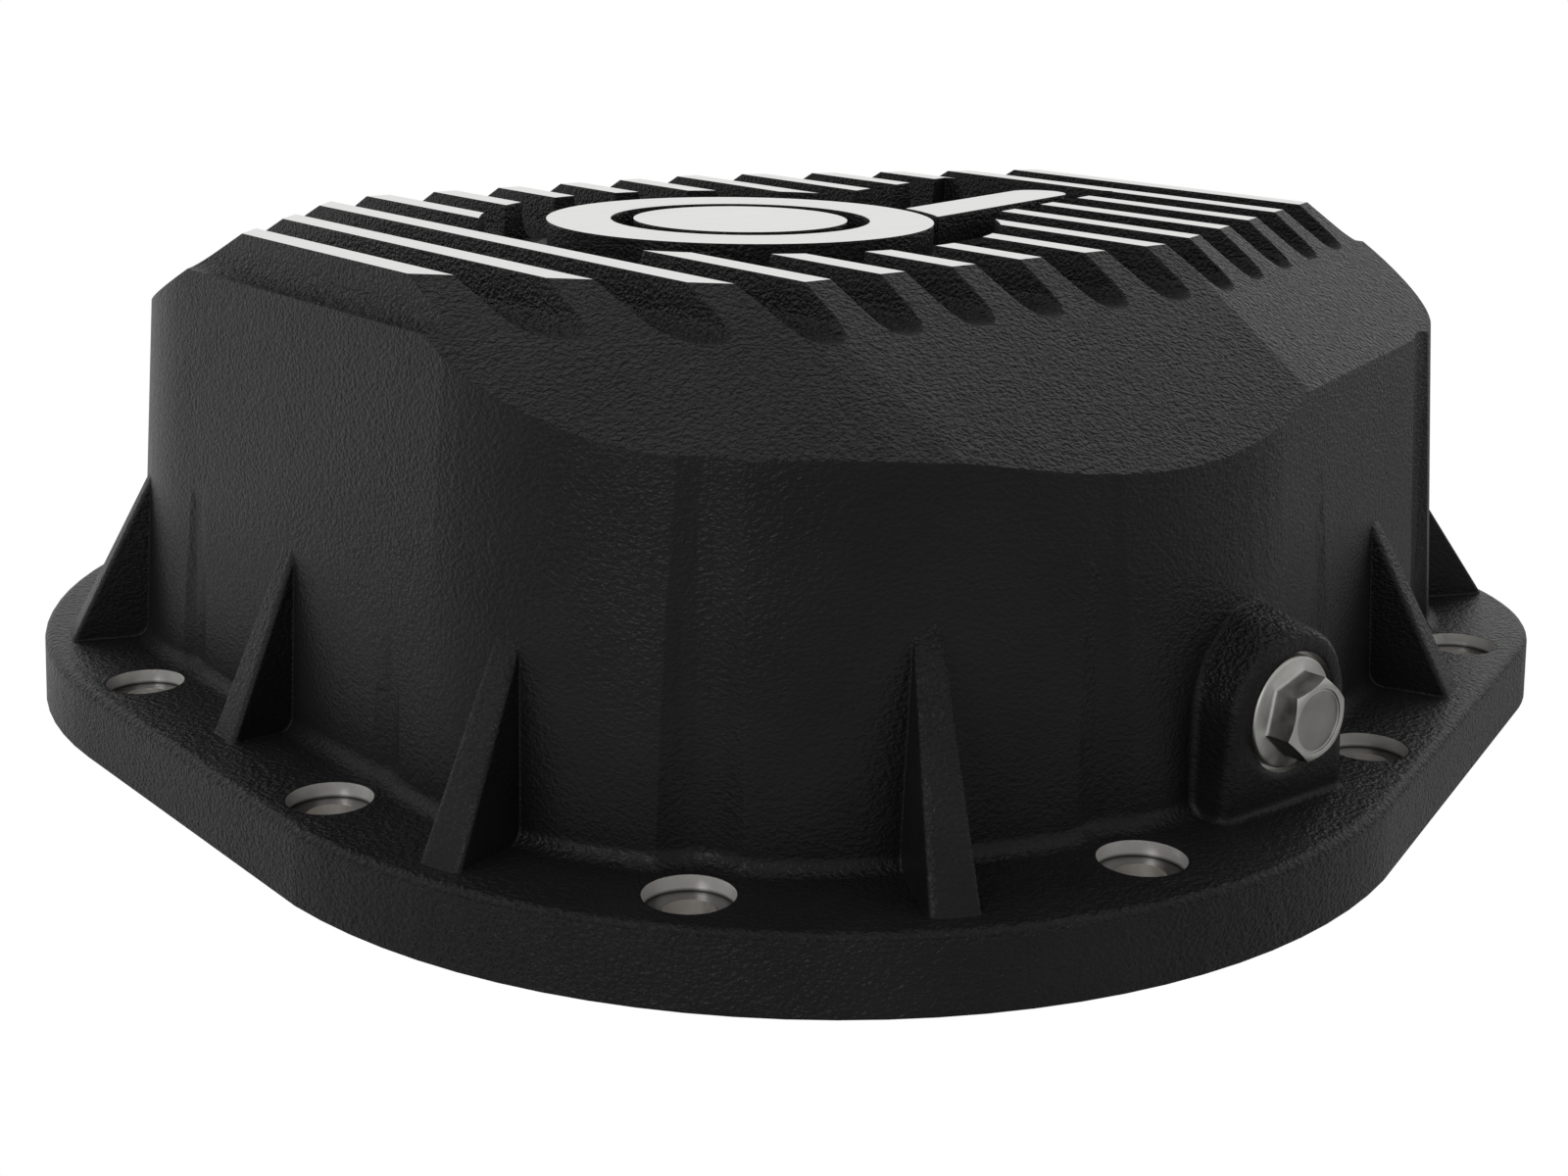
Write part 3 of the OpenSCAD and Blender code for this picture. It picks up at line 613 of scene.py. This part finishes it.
class COVER_OT_studio(bpy.types.Operator):
    """Set up the pale floor, the soft lights, the world and the camera"""
    bl_idname = "cover.studio"
    bl_label = "Studio"

    def execute(self, context):
        scene = context.scene
        studio = scene.studio_settings
        scene.view_settings.view_transform = "Standard"
        self.floor()
        self.world(scene)
        # Place and width in metres, power in watts, and whether reflections show the lamp.
        for name, place, width, power, mirrored in (
                ("left_softbox", (-1.5, 0.25, 0.55), 1.3, 9, False),
                ("key_light", (-1.5, -0.6, 0.9), 0.5, 8, True),
                ("right_softbox", (0.9, -1.5, 0.8), 1.1, 10, False),
                ("top_softbox", (0.0, 0.3, 1.9), 1.6, 18, False)):
            self.lamp(name, place, width, power, mirrored)
        self.camera(scene, studio)
        return {"FINISHED"}

    def floor(self):
        """Pale sweep: plain white to the camera, a painted glow in reflections, and matt pale grey in the
        light that it gives back.
        """
        bm = bmesh.new()
        bmesh.ops.create_grid(bm, x_segments=1, y_segments=1, size=6.0)
        bmesh.ops.translate(bm, verts=bm.verts, vec=(0, 0, -0.2 * MM))
        mesh = bpy.data.meshes.new("floor")
        bm.to_mesh(mesh)
        bm.free()
        floor = put("floor", mesh)
        material = bpy.data.materials.new("white_sweep")
        material.use_nodes = True
        tree = material.node_tree
        tree.nodes.clear()
        output = tree.nodes.new("ShaderNodeOutputMaterial")
        paint = node(tree, "ShaderNodeBsdfDiffuse", inputs={"Color": linear("#D8D8D8")})
        glow = node(tree, "ShaderNodeEmission", inputs={"Color": (1, 1, 1, 1)})
        path = tree.nodes.new("ShaderNodeLightPath")
        seen = node(tree, "ShaderNodeMath", {0: path.outputs["Is Camera Ray"],
                                             1: path.outputs["Is Glossy Ray"]}, operation="MAXIMUM")
        # Painted light: in reflections the sweep glows, a little darker on the right, away from the window
        # side.
        place = tree.nodes.new("ShaderNodeTexCoord")
        apart = node(tree, "ShaderNodeSeparateXYZ", {"Vector": place.outputs["Object"]})
        fall = node(tree, "ShaderNodeMapRange", {"Value": apart.outputs["X"]},
                    inputs={"From Min": -0.15, "From Max": 0.3, "To Min": 0.88, "To Max": 0.3})
        # Painted shadow: close round the flange the glow is darker, so that reflections show the sweep in the
        # cover's own shade.
        reach = node(tree, "ShaderNodeVectorMath", {0: place.outputs["Object"]}, operation="LENGTH")
        shade = node(tree, "ShaderNodeMapRange", {"Value": reach.outputs["Value"]},
                     inputs={"From Min": 0.165, "From Max": 0.215, "To Min": 0.7, "To Max": 1.0})
        mirrored = node(tree, "ShaderNodeMath", {0: fall.outputs["Result"], 1: shade.outputs["Result"]},
                        operation="MULTIPLY")
        level = node(tree, "ShaderNodeMath", {0: mirrored.outputs[0], 1: path.outputs["Is Camera Ray"]},
                     operation="MAXIMUM")
        tree.links.new(level.outputs[0], glow.inputs["Strength"])
        mix = node(tree, "ShaderNodeMixShader", {"Fac": seen.outputs[0],
                                                 1: paint.outputs[0], 2: glow.outputs[0]})
        tree.links.new(mix.outputs[0], output.inputs["Surface"])
        mesh.materials.append(material)

    def world(self, scene):
        """White room: full white to the camera and in reflections, and dimmer as a light."""
        world = bpy.data.worlds.new("white_room")
        scene.world = world
        world.use_nodes = True
        tree = world.node_tree
        tree.nodes.clear()
        output = tree.nodes.new("ShaderNodeOutputWorld")
        path = tree.nodes.new("ShaderNodeLightPath")
        dim = node(tree, "ShaderNodeBackground", inputs={"Color": (1, 1, 1, 1), "Strength": 0.35})
        white = node(tree, "ShaderNodeBackground", inputs={"Color": (1, 1, 1, 1), "Strength": 1.0})
        seen = node(tree, "ShaderNodeMath", {0: path.outputs["Is Camera Ray"],
                                             1: path.outputs["Is Glossy Ray"]}, operation="MAXIMUM")
        mix = node(tree, "ShaderNodeMixShader", {"Fac": seen.outputs[0],
                                                 1: dim.outputs[0], 2: white.outputs[0]})
        tree.links.new(mix.outputs[0], output.inputs["Surface"])

    def lamp(self, name, place, width, power, mirrored):
        """Square soft lamp, aimed at the middle of the cover."""
        aim = Vector((0, 0, 50 * MM))
        data = bpy.data.lights.new(name, "AREA")
        data.shape = "SQUARE"
        data.size = width
        data.energy = power
        lamp = bpy.data.objects.new(name, data)
        lamp.visible_glossy = mirrored
        lamp.location = place
        lamp.rotation_euler = (aim - Vector(place)).to_track_quat("-Z", "Y").to_euler()
        bpy.context.scene.collection.objects.link(lamp)

    def camera(self, scene, studio):
        """Camera at the photograph's place, heading, pitch and roll."""
        a, p, r = studio.camera_heading, studio.camera_pitch, studio.camera_roll
        right = Vector((cos(a), -sin(a), 0))
        ahead = Vector((sin(a) * cos(p), cos(a) * cos(p), -sin(p)))
        up = right.cross(ahead)
        side = cos(r) * right + sin(r) * up
        tall = cos(r) * up - sin(r) * right
        data = bpy.data.cameras.new("photo_camera")
        data.lens = studio.camera_lens
        data.sensor_width = 36
        data.clip_start = 0.01
        camera = bpy.data.objects.new("photo_camera", data)
        turn = Matrix((side, tall, -ahead)).transposed().to_4x4()
        camera.matrix_world = Matrix.Translation(Vector(studio.camera_place)) @ turn
        scene.collection.objects.link(camera)
        scene.camera = camera


class COVER_PT_panel(bpy.types.Panel):
    """Sidebar panel with the cover's settings and operators"""
    bl_label = "Differential Cover"
    bl_idname = "COVER_PT_panel"
    bl_space_type = "VIEW_3D"
    bl_region_type = "UI"
    bl_category = "Cover"

    def draw(self, context):
        layout = self.layout
        for group in (context.scene.cover_settings, context.scene.studio_settings):
            for name in group.bl_rna.properties.keys():
                if name not in {"rna_type", "name"}:
                    layout.prop(group, name)
        for operator in PIECES:
            layout.operator(operator.bl_idname)


PIECES = (COVER_OT_casting, COVER_OT_drain_plug, COVER_OT_studio)
CLASSES = (CoverSettings, StudioSettings, *PIECES, COVER_PT_panel)


def register():
    for cls in CLASSES:
        bpy.utils.register_class(cls)
    bpy.types.Scene.cover_settings = PointerProperty(type=CoverSettings)
    bpy.types.Scene.studio_settings = PointerProperty(type=StudioSettings)


def unregister():
    del bpy.types.Scene.studio_settings
    del bpy.types.Scene.cover_settings
    for cls in reversed(CLASSES):
        bpy.utils.unregister_class(cls)


def main():
    register()
    bpy.ops.cover.casting()
    bpy.ops.cover.drain_plug()
    bpy.ops.cover.studio()


if __name__ == "__main__":
    main()
